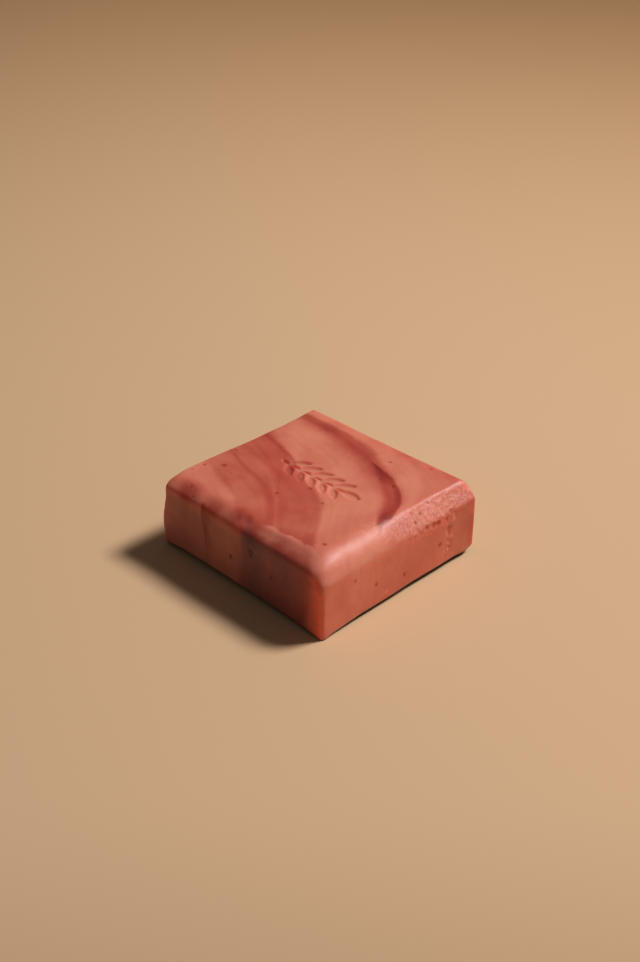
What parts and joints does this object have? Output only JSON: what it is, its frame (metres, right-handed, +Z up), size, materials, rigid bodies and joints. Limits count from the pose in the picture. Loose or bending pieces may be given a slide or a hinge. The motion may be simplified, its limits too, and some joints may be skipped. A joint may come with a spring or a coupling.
{
  "type": "bar of soap",
  "caption": "Square hand-planed bar of marbled soap with bevelled top edges and a leaf sprig pressed into the top.",
  "frame": {"origin": "middle of the flat underside that the bar rests on", "axes": "+Z up from the underside to the pressed top, +X along the slightly longer side, towards the widest planed edge"},
  "size_m": [0.0694, 0.0644, 0.024],
  "materials": {
    "soap": "satin, marbled salmon and dark red"
  },
  "bodies": {
    "root": {"soap_bar": "soap"}
  },
  "joints": []
}
